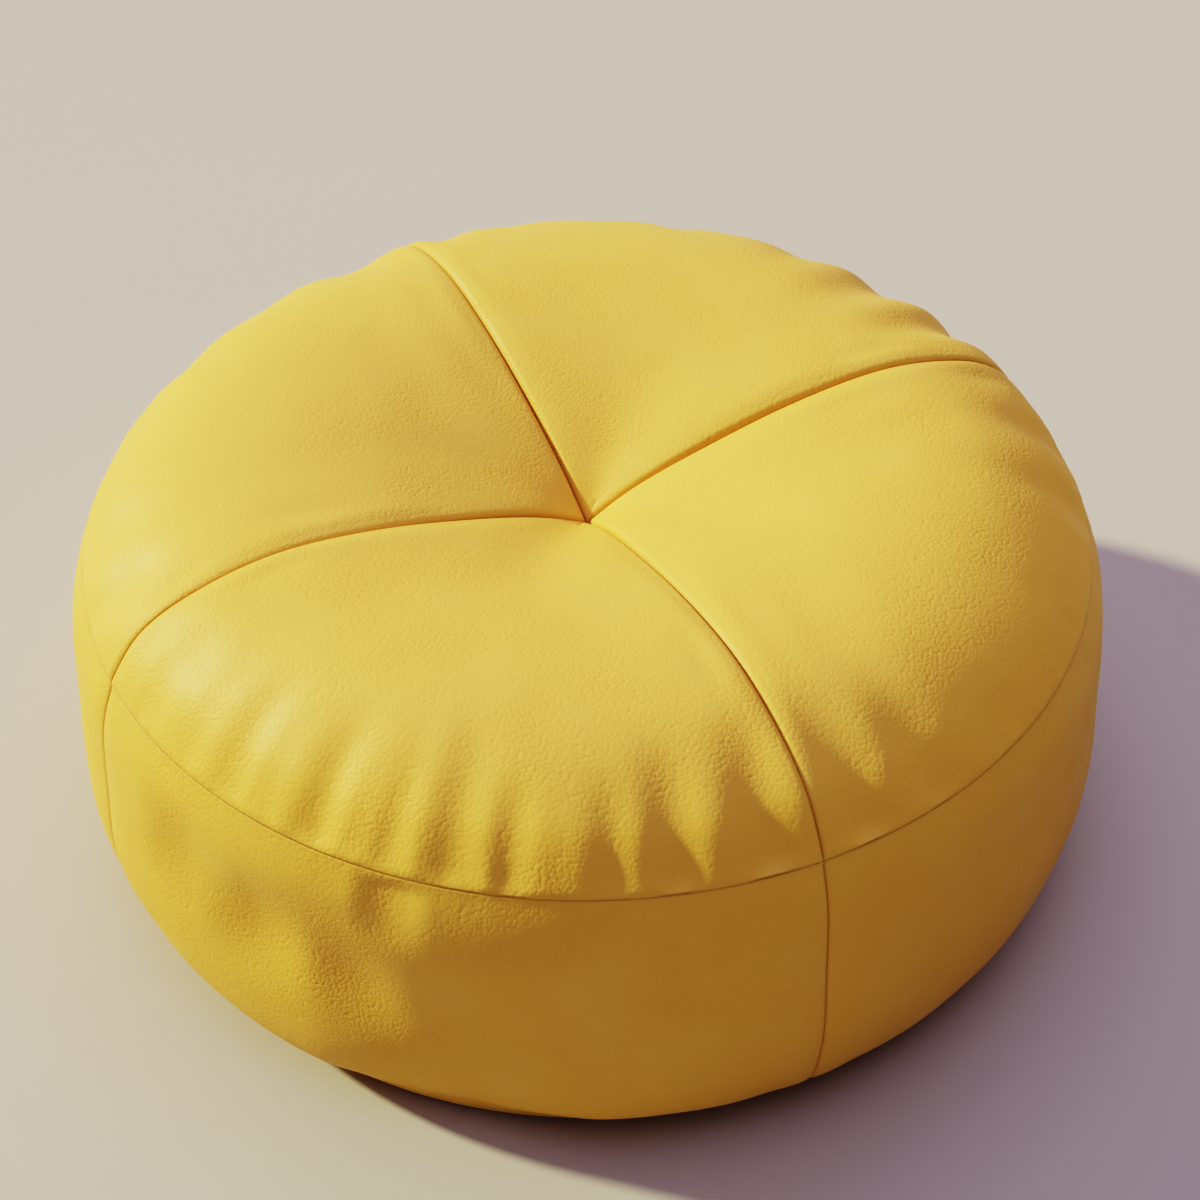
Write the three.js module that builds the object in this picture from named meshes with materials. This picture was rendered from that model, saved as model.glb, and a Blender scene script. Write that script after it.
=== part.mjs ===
// Round floor cushion: four top panels, four band panels and one base panel, filled and sewn together.
// Millimetres, +Z up, origin at the centre of the underside. Azimuths are degrees anticlockwise from +X,
// and the front of the cushion is towards -Y.

import * as THREE from 'three';

// Driving sizes
const DIAMETER = 600;
const BAND_SEAM_HEIGHT = 192;
const BASE_SEAM_HEIGHT = 10.5;
const BAND_SEAM_RADIUS = 0.469 * DIAMETER;
const BASE_SEAM_RADIUS = 0.463 * DIAMETER;
const FLAT_RADIUS = 0.445 * DIAMETER;
const SEAM_GAP = 0.3;

// The azimuths of the upright planes in which the seams lie, in the order in which they are met going round
const SEAMS = [21.9, 115.9, 208.7, 293.1];
const PANEL_NAMES = ['back', 'left', 'front', 'right'];

// The line of a top seam from the centre to the band seam: out is a share of the band seam's radius, rise is
// the height above the band seam. The first row is the centre, which is drawn down below the band seam.
const TOP_LINE = [
  { out: 0.0, rise: -9.6 },
  { out: 0.1, rise: 6.2 },
  { out: 0.25, rise: 22.3 },
  { out: 0.45, rise: 38.4 },
  { out: 0.65, rise: 46.2 },
  { out: 0.82, rise: 39.9 },
  { out: 0.93, rise: 25.8 },
  { out: 1.0, rise: 0.0 },
];

// The side of the band: up is a share of the height from the base seam to the band seam, bulge is how far the
// filled side stands out past the straight line between the two seams.
const BAND_LINE = [
  { up: 1.0, bulge: 0.0 },
  { up: 0.85, bulge: 10.1 },
  { up: 0.6, bulge: 16.4 },
  { up: 0.35, bulge: 20.9 },
  { up: 0.12, bulge: 15.5 },
  { up: 0.0, bulge: 0.0 },
];

// How high the middle of each top panel stands over its seams, in millimetres: out as above. CROWN_SPREAD is
// small because a panel is nearly level from one seam to the next and falls only close to them.
const CROWN = [
  { out: 0, back: 0, left: 0, front: 0, right: 0 },
  { out: 0.12, back: 3.5, left: 4.5, front: 1, right: 4.5 },
  { out: 0.3, back: 7.5, left: 4, front: 2.5, right: 3.5 },
  { out: 0.55, back: 6.5, left: 1.5, front: 5, right: 2.5 },
  { out: 0.75, back: 4.5, left: 0.5, front: 5.5, right: 1 },
  { out: 0.9, back: 2, left: -2, front: 0, right: -4 },
  { out: 1, back: 0, left: 0, front: 0, right: 0 },
];
const CROWN_SPREAD = 0.4;

// Rolled edges where the panels turn in to a seam
const TOP_SEAM = { depth: 1.8, width: 5 };
const BAND_SEAM = { depth: 1.2, width: 5 };

// Gathers that run inward from the band seam on the top panels: inner is the share of the seam's radius where
// a gather dies out, half its width is in degrees, and its depth in millimetres. GATHER_END is the distance
// from the band seam over which a gather closes.
const TOP_GATHERS = [
  { azimuth: 8.5, inner: 0.72, halfWidth: 5, depth: 2.5 },
  { azimuth: 31.5, inner: 0.62, halfWidth: 6, depth: 5.5 },
  { azimuth: 44, inner: 0.6, halfWidth: 7, depth: 6 },
  { azimuth: 57, inner: 0.7, halfWidth: 6, depth: 3.5 },
  { azimuth: 76, inner: 0.78, halfWidth: 5, depth: 2 },
  { azimuth: 88, inner: 0.8, halfWidth: 4.5, depth: 1.2 },
  { azimuth: 101, inner: 0.8, halfWidth: 5, depth: 1.5 },
  { azimuth: 111, inner: 0.76, halfWidth: 5, depth: 3.5 },
  { azimuth: 124, inner: 0.72, halfWidth: 8, depth: 4 },
  { azimuth: 140, inner: 0.78, halfWidth: 7, depth: 1.5 },
  { azimuth: 153, inner: 0.8, halfWidth: 6, depth: 1.5 },
  { azimuth: 172, inner: 0.78, halfWidth: 8, depth: 1.5 },
  { azimuth: 189.5, inner: 0.75, halfWidth: 5, depth: 1.8 },
  { azimuth: 200, inner: 0.78, halfWidth: 4.5, depth: 1.8 },
  { azimuth: 230.8, inner: 0.74, halfWidth: 3.2, depth: 2 },
  { azimuth: 242, inner: 0.76, halfWidth: 3.4, depth: 3.2 },
  { azimuth: 256.6, inner: 0.72, halfWidth: 4, depth: 3.2 },
  { azimuth: 278.6, inner: 0.76, halfWidth: 4.2, depth: 4.2 },
  { azimuth: 288, inner: 0.74, halfWidth: 5, depth: 4.8 },
  { azimuth: 298.5, inner: 0.72, halfWidth: 5, depth: 4.5 },
  { azimuth: 307.5, inner: 0.74, halfWidth: 4.5, depth: 2.8 },
  { azimuth: 318, inner: 0.76, halfWidth: 7, depth: 1.5 },
  { azimuth: 356.5, inner: 0.66, halfWidth: 5, depth: 2.5 },
];
const GATHER_END = 12;

// Soft upright hollows in the band: up and halfHeight are shares of the band's height.
const BAND_HOLLOWS = [
  { azimuth: 226, halfWidth: 9, up: 0.84, halfHeight: 0.3, depth: 3 },
  { azimuth: 236.5, halfWidth: 7.5, up: 0.52, halfHeight: 0.34, depth: 4 },
  { azimuth: 244, halfWidth: 5, up: 0.48, halfHeight: 0.22, depth: 2.2 },
  { azimuth: 249.5, halfWidth: 4.5, up: 0.9, halfHeight: 0.26, depth: 3.6 },
  { azimuth: 258, halfWidth: 6.5, up: 0.6, halfHeight: 0.5, depth: 2.4 },
  { azimuth: 318, halfWidth: 10, up: 0.75, halfHeight: 0.45, depth: 1.5 },
  { azimuth: 12, halfWidth: 8, up: 0.75, halfHeight: 0.4, depth: 2.5 },
  { azimuth: 60, halfWidth: 9, up: 0.75, halfHeight: 0.4, depth: 3 },
  { azimuth: 150, halfWidth: 10, up: 0.75, halfHeight: 0.4, depth: 2.5 },
];

// The inner point, on the axis, down to which the filling of the top panels reaches
const APEX_HEIGHT = 120;

// How finely the faces are divided. Points crowd towards the edges of a panel, where it rolls into its seams.
const COLUMNS = 60;
const TOP_ROWS = 20;
const BAND_ROWS = 10;
const BASE_STEPS = 96;
const BASE_EDGE_STEPS = 4;
const EDGE_CROWDING = 0.5;

const LEATHER_COLOUR = 0xe3c64f;
const LEATHER_ROUGHNESS = 0.5;

const radians = THREE.MathUtils.degToRad;

// Smooth curves through the tables
function curveThrough(rows, place) {
  return new THREE.SplineCurve(rows.map((row) => new THREE.Vector2(...place(row))));
}

const topCurve = curveThrough(TOP_LINE, (row) => [row.out * BAND_SEAM_RADIUS, BAND_SEAM_HEIGHT + row.rise]);
const crownCurves = PANEL_NAMES.map((name) => curveThrough(CROWN, (row) => [row.out, row[name]]));
const bandCurve = curveThrough(BAND_LINE, (row) => [
  THREE.MathUtils.lerp(BASE_SEAM_RADIUS, BAND_SEAM_RADIUS, row.up) + row.bulge,
  THREE.MathUtils.lerp(BASE_SEAM_HEIGHT, BAND_SEAM_HEIGHT, row.up),
]);

// Evenly numbered steps, moved towards both ends of the range 0 to 1
function crowded(step, steps) {
  const even = step / steps;
  return even - (EDGE_CROWDING * Math.sin(2 * Math.PI * even)) / (2 * Math.PI);
}

// A quarter round: 0 on the seam, 1 from the given width inward
function rolled(distance, width) {
  const left = 1 - Math.min(distance / width, 1);
  return Math.sqrt(1 - left * left);
}

// A soft hump: 1 in the middle, 0 from the half width outward
function hump(offset, halfWidth) {
  const share = Math.min(Math.abs(offset) / halfWidth, 1);
  return 0.5 + 0.5 * Math.cos(Math.PI * share);
}

function turnBetween(a, b) {
  return THREE.MathUtils.euclideanModulo(a - b + 180, 360) - 180;
}

// A panel's crown height at a share of the seam's radius, by reading along its curve
function crownHeight(crownCurve, out) {
  let low = 0;
  let high = 1;
  for (let pass = 0; pass < 24; pass += 1) {
    const middle = (low + high) / 2;
    if (crownCurve.getPoint(middle).x < out) low = middle;
    else high = middle;
  }
  return crownCurve.getPoint(low).y;
}

function polar(radius, azimuth, height) {
  return new THREE.Vector3(
    radius * Math.cos(radians(azimuth)),
    radius * Math.sin(radians(azimuth)),
    height,
  );
}

// Moves a point of a curve out along the curve's own normal, in the plane through the axis
function pushedOut(curve, share, distance) {
  const point = curve.getPointAt(share);
  const tangent = curve.getTangentAt(share);
  return { radius: Math.max(point.x - tangent.y * distance, 0), height: point.y + tangent.x * distance };
}

// A point on a top panel: share runs from the centre to the band seam, across from one seam to the next
function topPoint(panel, share, across) {
  const azimuth = THREE.MathUtils.lerp(panel.start, panel.end, across);
  const line = topCurve.getPointAt(share);
  const out = line.x / BAND_SEAM_RADIUS;
  const fromRim = (1 - share) * topCurve.getLength();
  const nearest = Math.min(across, 1 - across) * (panel.end - panel.start);
  const fromSeam = line.x * radians(nearest);
  let lift = TOP_SEAM.depth * rolled(fromSeam, TOP_SEAM.width) * rolled(fromRim, TOP_SEAM.width);
  lift += crownHeight(panel.crown, out) * Math.sin(Math.PI * across) ** CROWN_SPREAD;
  for (const gather of TOP_GATHERS) {
    const along = THREE.MathUtils.smoothstep(out, gather.inner, 0.95) * rolled(fromRim, GATHER_END);
    lift -= gather.depth * hump(turnBetween(azimuth, gather.azimuth), gather.halfWidth) * along
      * rolled(fromSeam, TOP_SEAM.width);
  }
  const { radius, height } = pushedOut(topCurve, share, lift);
  return polar(radius, azimuth, height + SEAM_GAP / 2);
}

// A point on a band panel: share runs down from the band seam to the base seam
function bandPoint(panel, share, across) {
  const azimuth = THREE.MathUtils.lerp(panel.start, panel.end, across);
  const nearest = Math.min(across, 1 - across) * (panel.end - panel.start);
  const fromSeam = bandCurve.getPointAt(share).x * radians(nearest);
  const ends = rolled(share * bandCurve.getLength(), BAND_SEAM.width)
    * rolled((1 - share) * bandCurve.getLength(), BAND_SEAM.width);
  let push = BAND_SEAM.depth * (rolled(fromSeam, BAND_SEAM.width) - 1) * ends;
  for (const hollow of BAND_HOLLOWS) {
    push -= hollow.depth * hump(turnBetween(azimuth, hollow.azimuth), hollow.halfWidth)
      * hump(1 - share - hollow.up, hollow.halfHeight) * ends;
  }
  const { radius, height } = pushedOut(bandCurve, share, push);
  const room = THREE.MathUtils.lerp(-SEAM_GAP, SEAM_GAP, share) / 2;
  return polar(radius, azimuth, height + room);
}

// A closed wedge from rows of points, the first and the last a single point on the axis. The two cut faces
// are fans around the hub, which is one of those two points.
function closedWedge(rows, hub) {
  const positions = [];
  const index = [];
  const starts = [];
  for (const row of rows) {
    starts.push(positions.length / 3);
    for (const point of row) positions.push(point.x, point.y, point.z);
  }
  const at = (row, column) => starts[row] + Math.min(column, rows[row].length - 1);
  const hubVertex = at(hub, 0);
  const addTriangle = (a, b, c) => {
    if (a !== b && b !== c && c !== a) index.push(a, b, c);
  };
  for (let row = 0; row < rows.length - 1; row += 1) {
    for (let column = 0; column < COLUMNS; column += 1) {
      addTriangle(at(row, column), at(row + 1, column), at(row + 1, column + 1));
      addTriangle(at(row, column), at(row + 1, column + 1), at(row, column + 1));
    }
    addTriangle(at(row + 1, 0), at(row, 0), hubVertex);
    addTriangle(at(row, COLUMNS), at(row + 1, COLUMNS), hubVertex);
  }
  const geometry = new THREE.BufferGeometry();
  geometry.setAttribute('position', new THREE.Float32BufferAttribute(positions, 3));
  geometry.setIndex(index);
  geometry.computeVertexNormals();
  return geometry;
}

function rowsOfPoints(pointAt, panel, first, last, steps) {
  const rows = [];
  for (let row = first; row <= last; row += 1) {
    const points = [];
    for (let column = 0; column <= COLUMNS; column += 1) {
      points.push(pointAt(panel, crowded(row, steps), crowded(column, COLUMNS)));
    }
    rows.push(points);
  }
  return rows;
}

function topPanelGeometry(panel) {
  const centre = new THREE.Vector3(0, 0, topCurve.getPoint(0).y + SEAM_GAP / 2);
  const apex = new THREE.Vector3(0, 0, APEX_HEIGHT + SEAM_GAP / 2);
  const rings = rowsOfPoints(topPoint, panel, 1, TOP_ROWS, TOP_ROWS);
  return closedWedge([[centre], ...rings, [apex]], rings.length + 1);
}

function bandPanelGeometry(panel) {
  const apex = new THREE.Vector3(0, 0, APEX_HEIGHT - SEAM_GAP / 2);
  const foot = new THREE.Vector3(0, 0, BASE_SEAM_HEIGHT + SEAM_GAP / 2);
  const rings = rowsOfPoints(bandPoint, panel, 0, BAND_ROWS, BAND_ROWS);
  return closedWedge([[apex], ...rings, [foot]], 0);
}

// The base: flat underneath, with its edge curling up to the base seam
function basePanelGeometry() {
  const top = BASE_SEAM_HEIGHT - SEAM_GAP / 2;
  const edge = new THREE.QuadraticBezierCurve(
    new THREE.Vector2(FLAT_RADIUS, 0),
    new THREE.Vector2(BASE_SEAM_RADIUS + 2, 0),
    new THREE.Vector2(BASE_SEAM_RADIUS, top),
  );
  const profile = [new THREE.Vector2(0, 0), ...edge.getPoints(BASE_EDGE_STEPS), new THREE.Vector2(0, top)];
  const geometry = new THREE.LatheGeometry(profile, BASE_STEPS);
  geometry.rotateX(Math.PI / 2);
  return geometry;
}

function leatherMesh(name, geometry) {
  const material = new THREE.MeshStandardMaterial({
    color: LEATHER_COLOUR,
    roughness: LEATHER_ROUGHNESS,
    metalness: 0,
  });
  const mesh = new THREE.Mesh(geometry, material);
  mesh.name = name;
  return mesh;
}

// Each panel stands off its two upright seams by half the gap
function placedOffSeams(mesh, panel) {
  const halfAngle = radians(panel.end - panel.start) / 2;
  const middle = radians(panel.start + panel.end) / 2;
  const shift = SEAM_GAP / 2 / Math.sin(halfAngle);
  mesh.position.set(shift * Math.cos(middle), shift * Math.sin(middle), 0);
  return mesh;
}

const group = new THREE.Group();
PANEL_NAMES.forEach((name, number) => {
  const start = SEAMS[number];
  const next = SEAMS[(number + 1) % SEAMS.length];
  const panel = { start, end: next < start ? next + 360 : next, crown: crownCurves[number] };
  group.add(placedOffSeams(leatherMesh(`top_panel_${name}`, topPanelGeometry(panel)), panel));
  group.add(placedOffSeams(leatherMesh(`band_panel_${name}`, bandPanelGeometry(panel)), panel));
});
group.add(leatherMesh('base_panel', basePanelGeometry()));

export default group;
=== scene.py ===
# Round floor cushion in smooth yellow leather: quarter top panels, band panels and a base, sewn and filled.
# Metres, +Z up. Azimuths are degrees anticlockwise from +X, and the front is towards -Y.

import math

import bmesh
import bpy
from mathutils import Matrix, Vector, geometry, noise


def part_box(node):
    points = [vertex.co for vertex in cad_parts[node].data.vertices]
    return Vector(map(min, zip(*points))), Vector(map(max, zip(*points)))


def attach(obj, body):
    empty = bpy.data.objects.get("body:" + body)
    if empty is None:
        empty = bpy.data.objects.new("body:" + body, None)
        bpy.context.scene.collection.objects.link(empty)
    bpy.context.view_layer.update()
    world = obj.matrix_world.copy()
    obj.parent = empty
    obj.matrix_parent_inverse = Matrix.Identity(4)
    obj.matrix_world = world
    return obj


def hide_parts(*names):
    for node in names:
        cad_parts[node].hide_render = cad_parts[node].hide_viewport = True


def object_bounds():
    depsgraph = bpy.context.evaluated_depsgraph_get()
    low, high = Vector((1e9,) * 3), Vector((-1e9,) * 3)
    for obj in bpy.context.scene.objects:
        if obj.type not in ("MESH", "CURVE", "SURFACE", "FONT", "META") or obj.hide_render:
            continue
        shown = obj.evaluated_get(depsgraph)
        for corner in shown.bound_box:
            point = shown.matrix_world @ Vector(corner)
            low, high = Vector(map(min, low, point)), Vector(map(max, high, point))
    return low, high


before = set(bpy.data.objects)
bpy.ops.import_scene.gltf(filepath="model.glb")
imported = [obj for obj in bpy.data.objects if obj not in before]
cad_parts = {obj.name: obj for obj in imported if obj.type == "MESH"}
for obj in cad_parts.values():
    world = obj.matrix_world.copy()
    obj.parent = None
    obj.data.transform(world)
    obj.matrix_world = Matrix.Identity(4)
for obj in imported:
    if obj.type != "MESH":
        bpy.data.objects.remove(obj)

cad_low, cad_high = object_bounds()

MM = 0.001

# Sizes: the gap that is left at each seam, and heights and radii from the frame. The last two are shares of
# the radius.
RADIUS = (cad_high.x - cad_low.x) / 2
SEAM_GAP = 0.3 * MM
BAND_SEAM_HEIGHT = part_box("band_panel_front")[1].z + SEAM_GAP / 2
BASE_SEAM_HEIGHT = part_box("base_panel")[1].z + SEAM_GAP / 2
BASE_SEAM_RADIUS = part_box("base_panel")[1].x
BAND_SEAM_RADIUS = 0.938 * RADIUS
FLAT_RADIUS = 0.89 * RADIUS

# The azimuths of the upright planes in which the seams lie, in the order met going round
SEAMS = [21.9, 115.9, 208.7, 293.1]
PANELS = ["back", "left", "front", "right"]
NODES = [f"top_panel_{name}" for name in PANELS] + [f"band_panel_{name}" for name in PANELS] + ["base_panel"]
BASE = NODES.index("base_panel")

# A top seam from the centre to the band seam: out is a share of the band seam's radius, and rise is in
# millimetres above the band seam
TOP_LINE = [
    {"out": 0.0, "rise": -9.6},
    {"out": 0.1, "rise": 6.2},
    {"out": 0.25, "rise": 22.3},
    {"out": 0.45, "rise": 38.4},
    {"out": 0.65, "rise": 46.2},
    {"out": 0.82, "rise": 39.9},
    {"out": 0.93, "rise": 25.8},
    {"out": 1.0, "rise": 0.0},
]

# The side of the band: up is a share of the height between its seams, bulge is in millimetres
BAND_LINE = [
    {"up": 1.0, "bulge": 0.0},
    {"up": 0.85, "bulge": 10.1},
    {"up": 0.6, "bulge": 16.4},
    {"up": 0.35, "bulge": 20.9},
    {"up": 0.12, "bulge": 15.5},
    {"up": 0.0, "bulge": 0.0},
]

# How high the middle of each top panel stands over the seam line, in millimetres
CROWN = [
    {"out": 0.0, "back": 0.0, "left": 0.0, "front": 0.0, "right": 0.0},
    {"out": 0.12, "back": 3.5, "left": 4.5, "front": 1.0, "right": 4.5},
    {"out": 0.3, "back": 7.5, "left": 4.0, "front": 2.5, "right": 3.5},
    {"out": 0.55, "back": 6.5, "left": 1.5, "front": 5.0, "right": 2.5},
    {"out": 0.75, "back": 4.5, "left": 0.5, "front": 5.5, "right": 1.0},
    {"out": 0.9, "back": 2.0, "left": -2.0, "front": 0.0, "right": -4.0},
    {"out": 1.0, "back": 0.0, "left": 0.0, "front": 0.0, "right": 0.0},
]

# How squarely a crown stands over its panel: 1 is a plain arch, and less is flatter on top
CROWN_SPREAD = 0.4

# Rolled edges where the leather turns in to a seam, in millimetres
TOP_SEAM = {"depth": 1.6, "width": 3.6}
BAND_SEAM = {"depth": 1.2, "width": 4.0}

# Gathers that run inward from the band seam on the top panels. A gather starts at inner and has its whole
# depth from GATHER_FULL outward, both as shares of the band seam's radius, and it runs out over GATHER_END
# beside the seam. half_width is in degrees, and depth in millimetres.
GATHER_FULL = 0.95
GATHER_END = 12 * MM
TOP_GATHERS = [
    {"azimuth": 8.5, "inner": 0.72, "half_width": 5.0, "depth": 2.5},
    {"azimuth": 31.5, "inner": 0.62, "half_width": 6.0, "depth": 5.5},
    {"azimuth": 44.0, "inner": 0.60, "half_width": 7.0, "depth": 6.0},
    {"azimuth": 57.0, "inner": 0.70, "half_width": 6.0, "depth": 3.5},
    {"azimuth": 76.0, "inner": 0.78, "half_width": 5.0, "depth": 2.0},
    {"azimuth": 88.0, "inner": 0.80, "half_width": 4.5, "depth": 1.2},
    {"azimuth": 101.0, "inner": 0.80, "half_width": 5.0, "depth": 1.5},
    {"azimuth": 111.0, "inner": 0.76, "half_width": 5.0, "depth": 3.5},
    {"azimuth": 124.0, "inner": 0.72, "half_width": 8.0, "depth": 4.0},
    {"azimuth": 140.0, "inner": 0.78, "half_width": 7.0, "depth": 1.5},
    {"azimuth": 153.0, "inner": 0.80, "half_width": 6.0, "depth": 1.5},
    {"azimuth": 172.0, "inner": 0.78, "half_width": 8.0, "depth": 1.5},
    {"azimuth": 189.5, "inner": 0.75, "half_width": 5.0, "depth": 1.8},
    {"azimuth": 200.0, "inner": 0.78, "half_width": 4.5, "depth": 1.8},
    {"azimuth": 217.0, "inner": 0.70, "half_width": 3.2, "depth": 0.6},
    {"azimuth": 224.5, "inner": 0.76, "half_width": 2.8, "depth": 0.8},
    {"azimuth": 230.8, "inner": 0.74, "half_width": 3.2, "depth": 2.0},
    {"azimuth": 235.3, "inner": 0.80, "half_width": 2.0, "depth": 0.9},
    {"azimuth": 242.0, "inner": 0.76, "half_width": 3.4, "depth": 3.2},
    {"azimuth": 246.2, "inner": 0.82, "half_width": 2.2, "depth": 0.9},
    {"azimuth": 250.0, "inner": 0.74, "half_width": 3.0, "depth": 1.8},
    {"azimuth": 256.6, "inner": 0.72, "half_width": 4.0, "depth": 3.2},
    {"azimuth": 262.3, "inner": 0.82, "half_width": 2.8, "depth": 3.4},
    {"azimuth": 266.6, "inner": 0.84, "half_width": 2.2, "depth": 0.7},
    {"azimuth": 272.3, "inner": 0.82, "half_width": 2.8, "depth": 2.8},
    {"azimuth": 278.6, "inner": 0.76, "half_width": 4.2, "depth": 4.2},
    {"azimuth": 288.0, "inner": 0.74, "half_width": 5.0, "depth": 4.8},
    {"azimuth": 298.5, "inner": 0.72, "half_width": 5.0, "depth": 4.5},
    {"azimuth": 307.5, "inner": 0.74, "half_width": 4.5, "depth": 2.8},
    {"azimuth": 318.0, "inner": 0.76, "half_width": 7.0, "depth": 1.5},
    {"azimuth": 356.5, "inner": 0.66, "half_width": 5.0, "depth": 2.5},
]

# Soft hollows in the band, which add up where they overlap. half_width is in degrees, up and half_height are
# shares of the band's height, and depth is in millimetres. They fade out over HOLLOW_EDGE beside a seam.
BAND_HOLLOWS = [
    {"azimuth": 242.0, "half_width": 25.0, "up": 0.58, "half_height": 0.42, "depth": 7.0},
    {"azimuth": 225.0, "half_width": 8.0, "up": 0.72, "half_height": 0.26, "depth": 4.2},
    {"azimuth": 234.0, "half_width": 8.0, "up": 0.60, "half_height": 0.26, "depth": 4.4},
    {"azimuth": 246.0, "half_width": 7.0, "up": 0.52, "half_height": 0.28, "depth": 2.8},
    {"azimuth": 250.5, "half_width": 4.5, "up": 0.92, "half_height": 0.20, "depth": 3.0},
    {"azimuth": 256.0, "half_width": 16.0, "up": 0.30, "half_height": 0.50, "depth": 8.0},
    {"azimuth": 318.0, "half_width": 10.0, "up": 0.75, "half_height": 0.45, "depth": 1.5},
    {"azimuth": 12.0, "half_width": 8.0, "up": 0.75, "half_height": 0.40, "depth": 2.5},
    {"azimuth": 60.0, "half_width": 9.0, "up": 0.75, "half_height": 0.40, "depth": 3.0},
    {"azimuth": 150.0, "half_width": 10.0, "up": 0.75, "half_height": 0.40, "depth": 2.5},
]
HOLLOW_EDGE = 9 * MM

# How finely the cover is divided before its one subdivision: squares from the centre to the rim, rows down
# the band and rows under the base, all crowded towards the seams
HALF_GRID = 52
BAND_ROWS = 34
BASE_ROWS = 8
EDGE_CROWDING = 0.6

# The points in each stretch of a smooth line, and the share of a line over which its slope is read
LINE_STEPS = 60
SLOPE_REACH = 0.004

# The point on the axis to which the filled panels reach, and how far the leather is turned in at the seams,
# in two steps and never further than a share of the way to that point. SEAM_TOLERANCE tells the points at the
# base seam from the others.
HUB_HEIGHT = 120 * MM
TURN_IN = 12 * MM
TURN_STEPS = (0.2, 1.0)
TURN_LIMIT = 0.5
SEAM_TOLERANCE = 1 * MM

# Filling: the leather is cut a little larger than the shape it starts from, which is drawn in, and air
# pressure fills it out again between the seams. It is held at the seams, and less and less out to HELD_REACH.
# What the pressure moves is capped, and evened out between neighbouring points.
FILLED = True
FILL_PRESSURE = 4.0
CUT_LARGER = 0.004
DRAWN_IN = {"top": 2.2 * MM, "band": 1.4 * MM, "reach": 70 * MM}
HELD_REACH = 8 * MM
CLOTH_MASS = 0.4
CLOTH_STIFFNESS = 8.0
CLOTH_BENDING = 4.0
CLOTH_FRAMES = 20
CLOTH_QUALITY = 5
SWELL_CAP = 6 * MM
EVENING_ROUNDS = 4

# Fine unevenness of the filled leather: soft swells all over, and puckers along the band seam, which stand
# higher on the top panels than on the band. Each fades out beside the seams.
SWELLS = [{"length": 42 * MM, "height": 0.5 * MM}, {"length": 19 * MM, "height": 0.1 * MM}]
SWELL_EDGE = 12 * MM
PUCKERS = {"pitch": 8.5 * MM, "length": 40 * MM, "top": 0.7 * MM, "band": 0.3 * MM, "reach": 13 * MM}
PUCKER_EDGE = 3 * MM
PUCKER_LAYER = {"top": 3.0, "band": 4.0}

# Painted shade in the seams: how much of the dark seam colour is painted on the leather there, and how far
# from a seam that starts and ends to fade. The painted shade is darker in the top seams, up to
# BAND_SHADE_REACH from the band seam.
TOP_SHADE = 0.35
BAND_SHADE = 0.2
BAND_SHADE_REACH = 3 * MM
SHADE_START = 0.3 * MM
SHADE_END = 1.6 * MM

# Leather: the colours of its coat, a dark colour painted into the seams as shade, and the coat's relief and
# gloss. The pebbles drift out of line, and the grain comes and goes in patches: PATCH_RANGE of the noise
# gives
# GRAIN_AMOUNT and SATIN_ROUGHNESS.
LEATHER_COLOUR = "#e7b55a"
DEEP_COLOUR = "#e6b156"
# Painted shade: the dark brown that is painted into the seams, where shade falls
SEAM_SHADE_COLOUR = "#a26c2c"
PEBBLE_PITCH = 2.0 * MM
PEBBLE_HEIGHT = 0.25 * MM
DRIFT_LENGTH = 9 * MM
DRIFT_REACH = 1.3 * MM
PATCH_LENGTH = 45 * MM
PATCH_RANGE = (0.35, 0.65)
GRAIN_AMOUNT = (0.45, 1.0)
CREASING_LENGTH = 14 * MM
CREASING_HEIGHT = 0.07 * MM
SATIN_ROUGHNESS = (0.52, 0.62)
SPECULAR_LEVEL = 0.45

# Floor: pale and matt, and wide enough for the photo's view
FLOOR_COLOUR = "#bab1b3"
FLOOR_ROUGHNESS = 0.9
FLOOR_REACH = 6.0

# Studio: a low key from the left, a wide soft fill from above and one from behind, and a dim surround
KEY_COLOUR = (0.98, 1.0, 0.54)
FILL_COLOUR = (0.95, 0.87, 1.0)
LIGHTS = [
    {
        "name": "key",
        "azimuth": 161.5,
        "elevation": 28.5,
        "energy": 4.15,
        "angle": 3.5,
        "colour": KEY_COLOUR,
    },
    {
        "name": "top_fill",
        "azimuth": 90.0,
        "elevation": 84.5,
        "energy": 1.0,
        "angle": 65.0,
        "colour": FILL_COLOUR,
    },
    {
        "name": "back_fill",
        "azimuth": 90.0,
        "elevation": 30.0,
        "energy": 0.5,
        "angle": 70.0,
        "colour": FILL_COLOUR,
    },
]
WORLD_STRENGTH = 0.11

# The photo's view: angles in degrees, lens and sensor in millimetres, and the pixel at which the camera aims
CAMERA_LENS = 60.1
CAMERA_SENSOR = 36.0
CAMERA_ELEVATION = 42.55
CAMERA_DISTANCE = 3.949 * RADIUS
CAMERA_AIM_HEIGHT = 0.4 * RADIUS
CAMERA_ROLL = -0.53
FRAME_SIDE = 1200
AIM_PIXEL = (587.6, 604.5)


def smooth_line(points):
    """Points of a smooth Catmull-Rom curve through the given ones, drawn as Bezier stretches."""
    knots = [Vector((x, y, 0.0)) for x, y in points]
    slopes = []
    for number, knot in enumerate(knots):
        before = knots[max(number - 1, 0)]
        after = knots[min(number + 1, len(knots) - 1)]
        slopes.append((after - before) / 6)
    line = [knots[0]]
    for number in range(len(knots) - 1):
        start, end = knots[number], knots[number + 1]
        handles = start + slopes[number], end - slopes[number + 1]
        line += geometry.interpolate_bezier(start, *handles, end, LINE_STEPS)[1:]
    return line


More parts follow.
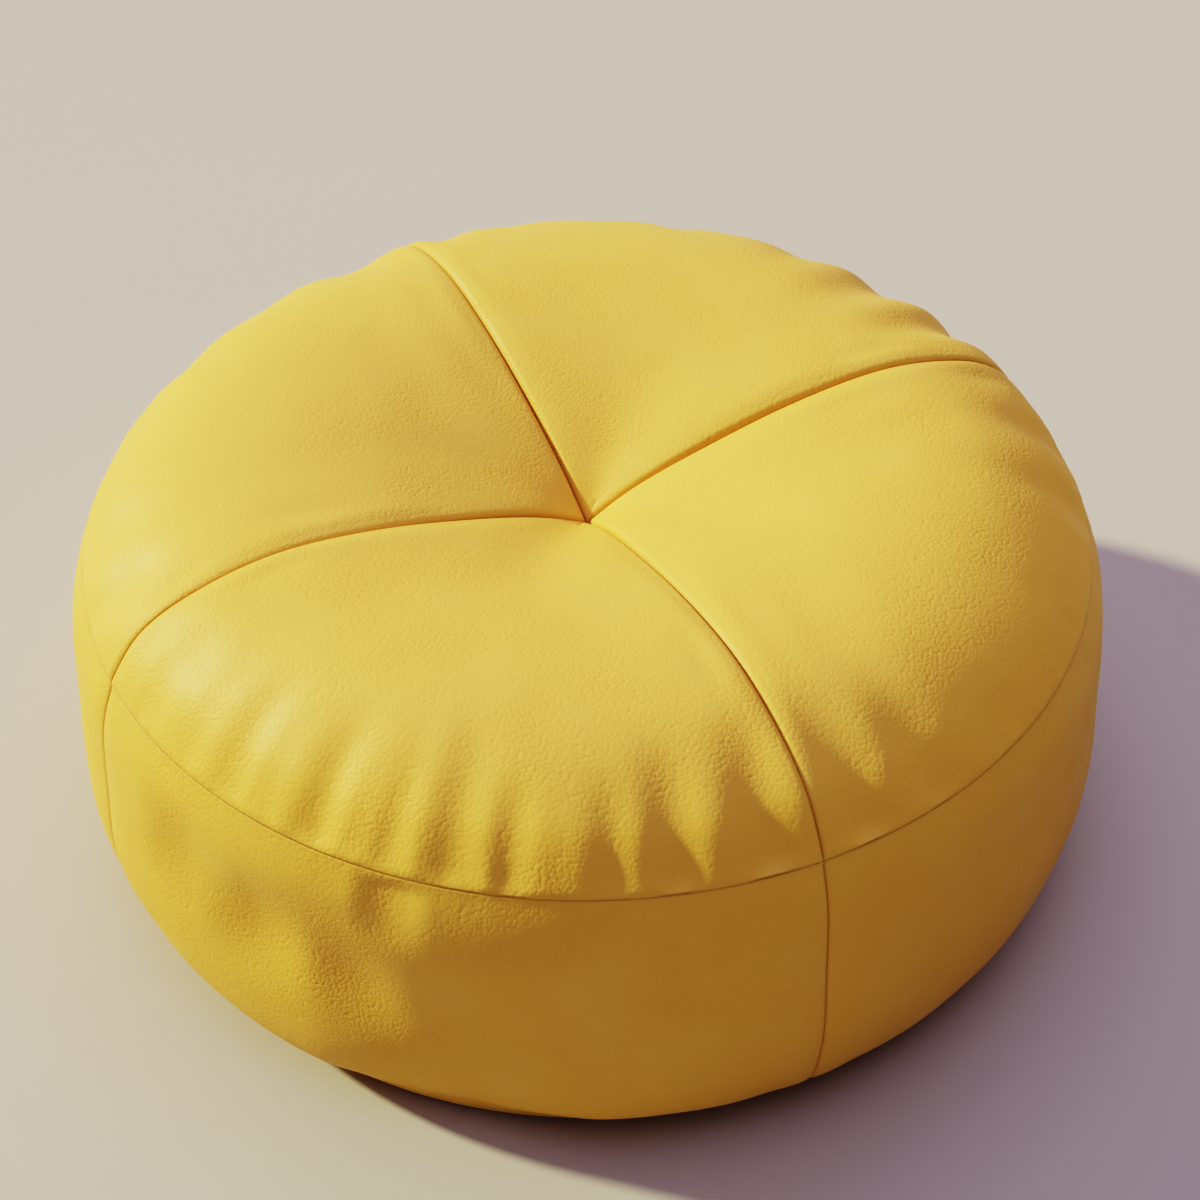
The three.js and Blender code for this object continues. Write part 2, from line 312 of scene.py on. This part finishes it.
class Profile:
    """A profile line read by its length: share 0 is its first point and 1 its last."""

    def __init__(self, points):
        self.line = smooth_line(points)
        self.reach = [0.0]
        for before, after in zip(self.line, self.line[1:]):
            self.reach.append(self.reach[-1] + (after - before).length)
        self.length = self.reach[-1]

    def at(self, share):
        wanted = min(max(share, 0.0), 1.0) * self.length
        low, high = 0, len(self.reach) - 1
        while high - low > 1:
            middle = (low + high) // 2
            if self.reach[middle] <= wanted:
                low = middle
            else:
                high = middle
        part = (wanted - self.reach[low]) / (self.reach[high] - self.reach[low])
        return self.line[low].lerp(self.line[high], part)

    def pushed_out(self, share, distance):
        """The point at a share, moved out along the line's normal."""
        tangent = (self.at(share + SLOPE_REACH) - self.at(share - SLOPE_REACH)).normalized()
        return self.at(share) + Vector((-tangent.y, tangent.x, 0.0)) * distance


top_line = Profile([(r["out"] * BAND_SEAM_RADIUS, BAND_SEAM_HEIGHT + r["rise"] * MM) for r in TOP_LINE])
band_line = Profile([
    (
        BASE_SEAM_RADIUS + (BAND_SEAM_RADIUS - BASE_SEAM_RADIUS) * r["up"] + r["bulge"] * MM,
        BASE_SEAM_HEIGHT + (BAND_SEAM_HEIGHT - BASE_SEAM_HEIGHT) * r["up"],
    )
    for r in BAND_LINE
])
crown_lines = [smooth_line([(r["out"], r[name] * MM) for r in CROWN]) for name in PANELS]


def crown_height(panel, out):
    """How high the middle of a panel stands over its seams at a share of the radius."""
    line = crown_lines[panel]
    for before, after in zip(line, line[1:]):
        if out <= after.x:
            return before.y + (after.y - before.y) * (out - before.x) / (after.x - before.x)
    return 0.0


def crowded(share):
    """An even share from 0 to 1, moved towards both ends."""
    return share - EDGE_CROWDING * math.sin(2 * math.pi * share) / (2 * math.pi)


def rolled(distance, width):
    """A quarter round: 0 on the seam, 1 from the given width inward."""
    left = 1 - min(max(distance, 0.0) / width, 1.0)
    return math.sqrt(1 - left * left)


def hump(offset, half_width):
    """A soft hump: 1 in the middle, 0 from the half width outward."""
    return 0.5 + 0.5 * math.cos(math.pi * min(abs(offset) / half_width, 1.0))


def smoothstep(value, low, high):
    """A soft step: 0 up to the low value, 1 from the high one on."""
    share = min(max((value - low) / (high - low), 0.0), 1.0)
    return share * share * (3 - 2 * share)


def turn_between(azimuth, other):
    """The shorter turn from one azimuth to the other."""
    return (azimuth - other + 180) % 360 - 180


def polar(radius, azimuth, height):
    """The point at a distance from the axis, an azimuth and a height."""
    angle = math.radians(azimuth)
    return Vector((radius * math.cos(angle), radius * math.sin(angle), height))


def seam_azimuths(panel):
    """The azimuths of the two seams of a panel, the second always the larger."""
    start, end = SEAMS[panel], SEAMS[(panel + 1) % len(SEAMS)]
    return start, end + (360 if end < start else 0)


def drawn_in(part, distance):
    """How far a point at a distance from its seams is drawn in before the filling."""
    return DRAWN_IN[part] * smoothstep(distance, 0.0, DRAWN_IN["reach"]) if FILLED else 0.0


def top_point(panel, share, across):
    """A point of the top: share runs from the centre to the band seam, and across from seam to seam."""
    first, last = seam_azimuths(panel)
    azimuth = first + (last - first) * across
    line = top_line.at(share)
    out = line.x / BAND_SEAM_RADIUS
    from_rim = (1 - share) * top_line.length
    from_seam = line.x * math.radians(min(across, 1 - across) * (last - first))
    width = TOP_SEAM["width"] * MM
    lift = TOP_SEAM["depth"] * MM * rolled(from_seam, width) * rolled(from_rim, width)
    lift += crown_height(panel, out) * max(math.sin(math.pi * across), 0.0) ** CROWN_SPREAD
    lift -= drawn_in("top", min(from_seam, from_rim))
    for gather in TOP_GATHERS:
        across_gather = hump(turn_between(azimuth, gather["azimuth"]), gather["half_width"])
        if across_gather > 0:
            along = smoothstep(out, gather["inner"], GATHER_FULL) * rolled(from_rim, GATHER_END)
            lift -= gather["depth"] * MM * across_gather * along * rolled(from_seam, width)
    point = top_line.pushed_out(share, lift)
    return polar(max(point.x, 0.0), azimuth, point.y)


def band_point(panel, share, across):
    """A point of the band: share runs from the band seam down to the base seam."""
    first, last = seam_azimuths(panel)
    azimuth = first + (last - first) * across
    from_seam = band_line.at(share).x * math.radians(min(across, 1 - across) * (last - first))
    width = BAND_SEAM["width"] * MM
    ends = rolled(share * band_line.length, width) * rolled((1 - share) * band_line.length, width)
    push = BAND_SEAM["depth"] * MM * (rolled(from_seam, width) - 1) * ends
    push -= drawn_in("band", min(from_seam, share * band_line.length, (1 - share) * band_line.length))
    point = band_line.pushed_out(share, push)
    return polar(point.x, azimuth, point.y)


def base_point(panel, share, across):
    """A point under the cushion: share runs from the base seam in to the flat underside."""
    first, last = seam_azimuths(panel)
    azimuth = first + (last - first) * across
    turn = share * math.pi / 2
    radius = FLAT_RADIUS + (BASE_SEAM_RADIUS - FLAT_RADIUS) * math.cos(turn)
    return polar(radius, azimuth, BASE_SEAM_HEIGHT * (1 - math.sin(turn)))


def quadrant(x, y):
    """The panel, the share from centre to rim and the share across of a point of the square grid."""
    panel = 0 if x > 0 and y >= 0 else 1 if x <= 0 and y > 0 else 2 if x < 0 and y <= 0 else 3
    along, up = ((x, y), (y, -x), (-x, -y), (-y, x))[panel]
    share = max(along, up)
    if share == 0:
        return panel, 0.0, 0.0
    across = 0.5 * up / along if up <= along else 1 - 0.5 * along / up
    return panel, share, across


def grid_share(value):
    """Moves the lines of the square grid towards the seams and the rim."""
    return math.copysign(crowded(abs(value)), value)


def extruded_row(bm, rim, place):
    """Extrudes the rim by one row: the new rim, its points and its faces."""
    grown = bmesh.ops.extrude_edge_only(bm, edges=rim)["geom"]
    new_verts = {v for v in grown if isinstance(v, bmesh.types.BMVert)}
    new_rim = [e for e in grown if isinstance(e, bmesh.types.BMEdge)]
    new_rim = [e for e in new_rim if e.verts[0] in new_verts and e.verts[1] in new_verts]
    for vert in new_verts:
        ends = (edge.other_vert(vert) for edge in vert.link_edges)
        place[vert] = place[next(end for end in ends if end not in new_verts)]
    return new_rim, new_verts, [f for f in grown if isinstance(f, bmesh.types.BMFace)]


def build_cover():
    """The whole cover as one sheet: a square grid drawn into the round top, extruded down and under."""
    bm = bmesh.new()
    panel_of = bm.faces.layers.int.new("panel")
    bmesh.ops.create_grid(bm, x_segments=2 * HALF_GRID, y_segments=2 * HALF_GRID, size=1.0)
    place = {}
    for vert in bm.verts:
        x, y = (round(c * HALF_GRID) / HALF_GRID for c in vert.co.xy)
        place[vert] = quadrant(grid_share(x), grid_share(y))
    for face in bm.faces:
        centre = face.calc_center_median()
        face[panel_of] = quadrant(centre.x, centre.y)[0]
    rim = [edge for edge in bm.edges if edge.is_boundary]
    shapes = {vert: top_point(*place[vert]) for vert in bm.verts}
    for rows, point_at in ((BAND_ROWS, band_point), (BASE_ROWS, base_point)):
        for row in range(1, rows + 1):
            rim, new_verts, new_faces = extruded_row(bm, rim, place)
            for vert in new_verts:
                panel, _, across = place[vert]
                shapes[vert] = point_at(panel, crowded(row / rows), across)
            for face in new_faces:
                inner = next(v for v in face.verts if 0 < place[v][2] < 1)
                face[panel_of] = len(PANELS) + place[inner][0] if point_at is band_point else BASE
    for vert, shape in shapes.items():
        vert.co = shape
    bmesh.ops.recalc_face_normals(bm, faces=bm.faces)
    return bm


def seam_distances(point):
    """A point's distances to the nearest upright seam, to the band seam and to the base seam."""
    radius = math.hypot(point.x, point.y)
    azimuth = math.degrees(math.atan2(point.y, point.x))
    turn = min(abs(turn_between(azimuth, seam)) for seam in SEAMS)
    upright = radius * math.sin(math.radians(min(turn, 90)))
    band = math.hypot(radius - BAND_SEAM_RADIUS, point.z - BAND_SEAM_HEIGHT)
    base = math.hypot(radius - BASE_SEAM_RADIUS, point.z - BASE_SEAM_HEIGHT)
    return upright, band, base


def free_distance(point):
    """How far a point is from the nearest seam, which is nothing all over the base."""
    return min(seam_distances(point)) if point.z > BASE_SEAM_HEIGHT else 0.0


def evened(moves, mesh):
    """Moves averaged with their neighbours', which leaves no ripple as short as the squares of the mesh."""
    for _ in range(EVENING_ROUNDS):
        sums = [move.copy() for move in moves]
        counts = [1] * len(moves)
        for edge in mesh.edges:
            for here, there in (edge.vertices, reversed(edge.vertices)):
                sums[here] += moves[there]
                counts[here] += 1
        moves = [total / count for total, count in zip(sums, counts)]
    return moves


def held_seams(obj, points):
    """The vertex group that holds the cover at its seams."""
    held = obj.vertex_groups.new(name="held")
    for number, point in enumerate(points):
        weight = 1 - free_distance(point) / HELD_REACH
        if weight > 0:
            held.add([number], weight, "REPLACE")
    return held


def filling(obj, held):
    """The cloth modifier that fills the cover with air pressure."""
    cloth = obj.modifiers.new("fill", "CLOTH")
    settings = cloth.settings
    settings.quality = CLOTH_QUALITY
    settings.mass = CLOTH_MASS
    settings.tension_stiffness = CLOTH_STIFFNESS
    settings.compression_stiffness = CLOTH_STIFFNESS
    settings.shear_stiffness = CLOTH_STIFFNESS
    settings.bending_stiffness = CLOTH_BENDING
    settings.shrink_min = -CUT_LARGER
    settings.use_pressure = True
    settings.uniform_pressure_force = FILL_PRESSURE
    settings.vertex_group_mass = held.name
    settings.effector_weights.gravity = 0.0
    cloth.point_cache.frame_start = 1
    cloth.point_cache.frame_end = CLOTH_FRAMES
    return cloth


def filled_points(obj):
    """Where the points of the cover are after the last frame of the filling."""
    scene = bpy.context.scene
    scene.frame_start, scene.frame_end = 1, CLOTH_FRAMES
    for number in range(1, CLOTH_FRAMES + 1):
        scene.frame_set(number)
    evaluated = obj.evaluated_get(bpy.context.evaluated_depsgraph_get())
    return [vert.co.copy() for vert in evaluated.data.vertices]


def filled_out(obj):
    """Lets air pressure fill the cover while its seams are held, and keeps each point within the cap."""
    start = [vert.co.copy() for vert in obj.data.vertices]
    held = held_seams(obj, start)
    cloth = filling(obj, held)
    filled = filled_points(obj)
    obj.modifiers.remove(cloth)
    obj.vertex_groups.remove(held)
    bpy.context.scene.frame_set(1)
    moves = [after - before for before, after in zip(start, filled)]
    for vert, before, move in zip(obj.data.vertices, start, evened(moves, obj.data)):
        if move.length > SWELL_CAP:
            move *= SWELL_CAP / move.length
        vert.co = before + move * smoothstep(free_distance(before), 0.0, HELD_REACH)
    obj.data.update()


def hollow_depth(point):
    """How deep the hollows of the band are at a point."""
    up = (point.z - BASE_SEAM_HEIGHT) / (BAND_SEAM_HEIGHT - BASE_SEAM_HEIGHT)
    azimuth = math.degrees(math.atan2(point.y, point.x))
    depth = 0.0
    for hollow in BAND_HOLLOWS:
        across = hump(turn_between(azimuth, hollow["azimuth"]), hollow["half_width"])
        depth += hollow["depth"] * MM * across * hump(up - hollow["up"], hollow["half_height"])
    return depth if 0 < up < 1 else 0.0


def fine_lift(point):
    """How far the filled leather stands out from its smooth shape: swells and puckers, less the hollows."""
    upright, band, _ = seam_distances(point)
    swells = sum(row["height"] * noise.noise(point / row["length"]) for row in SWELLS)
    swells *= smoothstep(free_distance(point), 0.0, SWELL_EDGE)
    along = math.atan2(point.y, point.x) * BAND_SEAM_RADIUS
    side = "top" if point.z > BAND_SEAM_HEIGHT else "band"
    spot = Vector((along / PUCKERS["pitch"], band / PUCKERS["length"], PUCKER_LAYER[side]))
    fade = math.exp(-band / PUCKERS["reach"]) * smoothstep(min(upright, band), 0.0, PUCKER_EDGE)
    hollow = hollow_depth(point) * smoothstep(free_distance(point), 0.0, HOLLOW_EDGE)
    return swells + PUCKERS[side] * noise.noise(spot) * fade - hollow


def made_uneven(obj):
    """Moves each point of the cover out along its normal by its fine lift."""
    normals = [vert.normal.copy() for vert in obj.data.vertices]
    for vert, normal in zip(obj.data.vertices, normals):
        vert.co += normal * fine_lift(vert.co)
    obj.data.update()


def smoothed(obj):
    """Adds the one subdivision, with the seams kept as creases."""
    bm = bmesh.new()
    bm.from_mesh(obj.data)
    panel_of = bm.faces.layers.int["panel"]
    crease = bm.edges.layers.float.new("crease_edge")
    for edge in bm.edges:
        if len({face[panel_of] for face in edge.link_faces}) > 1:
            edge[crease] = 1.0
    bm.to_mesh(obj.data)
    bm.free()
    finer = obj.modifiers.new("smooth", "SUBSURF")
    finer.levels = finer.render_levels = 1
    mesh = bpy.data.meshes.new_from_object(obj.evaluated_get(bpy.context.evaluated_depsgraph_get()))
    obj.modifiers.remove(finer)
    obj.data = mesh


def hub_of(point):
    """The inner point, on the axis, that a border point is closed to."""
    at_base = point.z < BASE_SEAM_HEIGHT + SEAM_TOLERANCE
    return Vector((0.0, 0.0, BASE_SEAM_HEIGHT if at_base else HUB_HEIGHT))


def added(name, data):
    """A new object in the scene."""
    piece = bpy.data.objects.new(name, data)
    bpy.context.scene.collection.objects.link(piece)
    return piece


def closed_to_hub(bm, border):
    """Turns the leather in along the border, and closes the piece to its hub."""
    for reach in TURN_STEPS:
        grown = bmesh.ops.extrude_edge_only(bm, edges=border)["geom"]
        turned = [v for v in grown if isinstance(v, bmesh.types.BMVert)]
        border = [edge for edge in bm.edges if edge.is_boundary]
        for vert in turned:
            inward = hub_of(vert.co) - vert.co
            vert.co += inward.normalized() * min(TURN_IN * reach, inward.length * TURN_LIMIT)
    grown = bmesh.ops.extrude_edge_only(bm, edges=border)["geom"]
    ends = [v for v in grown if isinstance(v, bmesh.types.BMVert)]
    for target in {hub_of(v.co).freeze() for v in ends}:
        group = [v for v in ends if v.is_valid and hub_of(v.co) == target]
        bmesh.ops.pointmerge(bm, verts=group, merge_co=target)


def parted(bm, number):
    """Moves a panel back from each of its seams by half the gap."""
    is_top = number < len(PANELS)
    middle = (BAND_SEAM_HEIGHT + BASE_SEAM_HEIGHT) / 2
    if number != BASE:
        first, last = seam_azimuths(number % len(PANELS))
        shift = SEAM_GAP / 2 / math.sin(math.radians(last - first) / 2)
        bmesh.ops.translate(bm, verts=bm.verts, vec=polar(shift, (first + last) / 2, 0.0))
    for vert in bm.verts:
        if is_top:
            vert.co.z += SEAM_GAP / 2
        elif number != BASE:
            vert.co.z += SEAM_GAP / 2 if vert.co.z < middle else -SEAM_GAP / 2
        elif vert.co.z > BASE_SEAM_HEIGHT / 2:
            vert.co.z -= SEAM_GAP / 2


def shaded_at_seams(mesh, number):
    """Keeps how much painted seam shade each point of a panel gets, for its material to read."""
    is_top = number < len(PANELS)
    # The crease attribute holds painted shade: how much dark seam colour the material paints at each point
    crease = mesh.attributes.new("crease", "FLOAT", "POINT")
    for vert, entry in zip(mesh.vertices, crease.data):
        upright, band, base = seam_distances(vert.co)
        near = base if number == BASE else min(upright, band, base)
        shade = TOP_SHADE if is_top and band > BAND_SHADE_REACH else BAND_SHADE
        entry.value = shade * (1 - smoothstep(near, SHADE_START, SHADE_END))


def panel_piece(cover, number):
    """One panel of the cover as a closed filled piece, with its edges turned in along the seams."""
    bm = cover.copy()
    panel_of = bm.faces.layers.int["panel"]
    bmesh.ops.delete(bm, geom=[f for f in bm.faces if f[panel_of] != number], context="FACES")
    border = [edge for edge in bm.edges if edge.is_boundary]
    if number == BASE:
        bmesh.ops.holes_fill(bm, edges=border, sides=0)
    else:
        closed_to_hub(bm, border)
    bmesh.ops.recalc_face_normals(bm, faces=bm.faces)
    parted(bm, number)
    mesh = bpy.data.meshes.new(NODES[number] + "_leather")
    bm.to_mesh(mesh)
    bm.free()
    mesh.shade_smooth()
    shaded_at_seams(mesh, number)
    return added(mesh.name, mesh)


def linear(colour):
    """An sRGB hex colour as linear values."""
    values = [int(colour[at:at + 2], 16) / 255 for at in (1, 3, 5)]
    values = [v / 12.92 if v <= 0.04045 else ((v + 0.055) / 1.055) ** 2.4 for v in values]
    return (*values, 1.0)


def add_node(tree, kind, settings=None, links=None):
    """Adds a node: settings go to its properties or input sockets, links to its input sockets."""
    node = tree.nodes.new(kind)
    for name, value in (settings or {}).items():
        if isinstance(name, str) and hasattr(node, name):
            setattr(node, name, value)
        else:
            node.inputs[name].default_value = value
    for name, socket in (links or {}).items():
        tree.links.new(socket, node.inputs[name])
    return node


def patchy_grain(tree, place):
    """How strong the grain is: it is pressed in unevenly, so it comes and goes over a few centimetres."""
    patches = add_node(
        tree, "ShaderNodeTexNoise",
        {"Scale": 1 / PATCH_LENGTH, "Detail": 2.0},
        {"Vector": place},
    )
    amount = add_node(
        tree, "ShaderNodeMapRange",
        {
            "From Min": PATCH_RANGE[0],
            "From Max": PATCH_RANGE[1],
            "To Min": GRAIN_AMOUNT[0],
            "To Max": GRAIN_AMOUNT[1],
        },
        {"Value": patches.outputs["Fac"]},
    )
    return amount.outputs["Result"]


def pebbled(tree, place, amount):
    """The relief of the pebbles, which are drawn 2 mm apart, about the finest that the picture can show."""
    drift = add_node(
        tree, "ShaderNodeTexNoise",
        {"Scale": 1 / DRIFT_LENGTH, "Detail": 1.0},
        {"Vector": place},
    )
    moved = add_node(
        tree, "ShaderNodeVectorMath",
        {"operation": "MULTIPLY_ADD", 1: (DRIFT_REACH, DRIFT_REACH, DRIFT_REACH)},
        {0: drift.outputs["Color"], 2: place},
    )
    pebbles = add_node(
        tree, "ShaderNodeTexVoronoi",
        {"Scale": 1 / PEBBLE_PITCH},
        {"Vector": moved.outputs["Vector"]},
    )
    domed = add_node(
        tree, "ShaderNodeMath",
        {"operation": "MULTIPLY"},
        {0: pebbles.outputs["Distance"], 1: pebbles.outputs["Distance"]},
    )
    height = add_node(
        tree, "ShaderNodeMath",
        {"operation": "MULTIPLY"},
        {0: domed.outputs["Value"], 1: amount},
    )
    grain = add_node(
        tree, "ShaderNodeBump",
        {"invert": True, "Strength": 1.0, "Distance": PEBBLE_HEIGHT},
        {"Height": height.outputs["Value"]},
    )
    return grain.outputs["Normal"]


def creased(tree, place, under):
    """Soft creasing of the coat in waves of CREASING_LENGTH and less, over the relief under it."""
    creasing = add_node(
        tree, "ShaderNodeTexNoise",
        {"Scale": 1 / CREASING_LENGTH, "Detail": 3.0, "Roughness": 0.55, "Distortion": 0.4},
        {"Vector": place},
    )
    surface = add_node(
        tree, "ShaderNodeBump",
        {"Strength": 1.0, "Distance": CREASING_HEIGHT},
        {"Height": creasing.outputs["Fac"], "Normal": under},
    )
    return surface.outputs["Normal"]


def coat_and_painted_shade(tree, amount):
    """The colour of the coat, a little deeper where the grain is stronger, with shade painted into the seams.
    """
    coat = add_node(
        tree, "ShaderNodeMix",
        {"data_type": "RGBA", 6: linear(LEATHER_COLOUR), 7: linear(DEEP_COLOUR)},
        {0: amount},
    )
    # Painted shade: the crease attribute mixes the dark seam colour over the coat in the seams
    crease = add_node(tree, "ShaderNodeAttribute", {"attribute_name": "crease"})
    colour = add_node(
        tree, "ShaderNodeMix",
        {"data_type": "RGBA", 7: linear(SEAM_SHADE_COLOUR)},
        {0: crease.outputs["Fac"], 6: coat.outputs[2]},
    )
    return colour.outputs[2]


def leather():
    """Leather with a yellow polyurethane coat: an even colour with shade painted into the seams, a fine
    pebble grain and a satin sheen.
    """
    material = bpy.data.materials.new("yellow_pu_leather")
    material.use_nodes = True
    tree = material.node_tree
    shader = tree.nodes["Principled BSDF"]
    place = add_node(tree, "ShaderNodeTexCoord").outputs["Object"]
    amount = patchy_grain(tree, place)
    tree.links.new(creased(tree, place, pebbled(tree, place, amount)), shader.inputs["Normal"])
    tree.links.new(coat_and_painted_shade(tree, amount), shader.inputs["Base Color"])
    sheen = add_node(
        tree, "ShaderNodeMapRange",
        {
            "From Min": GRAIN_AMOUNT[0],
            "From Max": GRAIN_AMOUNT[1],
            "To Min": SATIN_ROUGHNESS[0],
            "To Max": SATIN_ROUGHNESS[1],
        },
        {"Value": amount},
    )
    tree.links.new(sheen.outputs["Result"], shader.inputs["Roughness"])
    shader.inputs["Specular IOR Level"].default_value = SPECULAR_LEVEL
    return material


def floor():
    mesh = bpy.data.meshes.new("floor")
    bm = bmesh.new()
    bmesh.ops.create_grid(bm, x_segments=1, y_segments=1, size=FLOOR_REACH)
    bm.to_mesh(mesh)
    bm.free()
    material = bpy.data.materials.new("pale_floor")
    material.use_nodes = True
    shader = material.node_tree.nodes["Principled BSDF"]
    shader.inputs["Base Color"].default_value = linear(FLOOR_COLOUR)
    shader.inputs["Roughness"].default_value = FLOOR_ROUGHNESS
    mesh.materials.append(material)
    added("floor", mesh)


def camera():
    data = bpy.data.cameras.new("camera")
    data.lens = CAMERA_LENS
    data.sensor_width = CAMERA_SENSOR
    data.shift_x = (FRAME_SIDE / 2 - AIM_PIXEL[0]) / FRAME_SIDE
    data.shift_y = (AIM_PIXEL[1] - FRAME_SIDE / 2) / FRAME_SIDE
    piece = added("camera", data)
    elevation = math.radians(CAMERA_ELEVATION)
    back = Vector((0.0, -math.cos(elevation), math.sin(elevation)))
    turn = (-back).to_track_quat("-Z", "Y").to_matrix() @ Matrix.Rotation(math.radians(CAMERA_ROLL), 3, "Z")
    place = Vector((0.0, 0.0, CAMERA_AIM_HEIGHT)) + back * CAMERA_DISTANCE
    piece.matrix_world = Matrix.Translation(place) @ turn.to_4x4()
    bpy.context.scene.camera = piece


def lights():
    for row in LIGHTS:
        data = bpy.data.lights.new(row["name"], "SUN")
        data.energy = row["energy"]
        data.angle = math.radians(row["angle"])
        data.color = row["colour"]
        light = added(row["name"], data)
        elevation = math.radians(row["elevation"])
        towards = polar(math.cos(elevation), row["azimuth"], math.sin(elevation))
        light.rotation_mode = "QUATERNION"
        light.rotation_quaternion = towards.to_track_quat("Z", "Y")
    world = bpy.data.worlds.new("studio")
    bpy.context.scene.world = world
    world.use_nodes = True
    background = world.node_tree.nodes["Background"]
    background.inputs["Color"].default_value = (*FILL_COLOUR, 1.0)
    background.inputs["Strength"].default_value = WORLD_STRENGTH
    bpy.context.scene.view_settings.view_transform = "Filmic"
    bpy.context.scene.view_settings.look = "Very High Contrast"


def cover_object(bm):
    mesh = bpy.data.meshes.new("cover")
    bm.to_mesh(mesh)
    return added("cover", mesh)


cover = cover_object(build_cover())
if FILLED:
    filled_out(cover)
smoothed(cover)
made_uneven(cover)
whole = bmesh.new()
whole.from_mesh(cover.data)
finish_leather = leather()
for number, node in enumerate(NODES):
    piece = panel_piece(whole, number)
    piece.data.materials.append(finish_leather)
    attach(piece, "root")
    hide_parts(node)
whole.free()
bpy.data.objects.remove(cover)
floor()
camera()
lights()
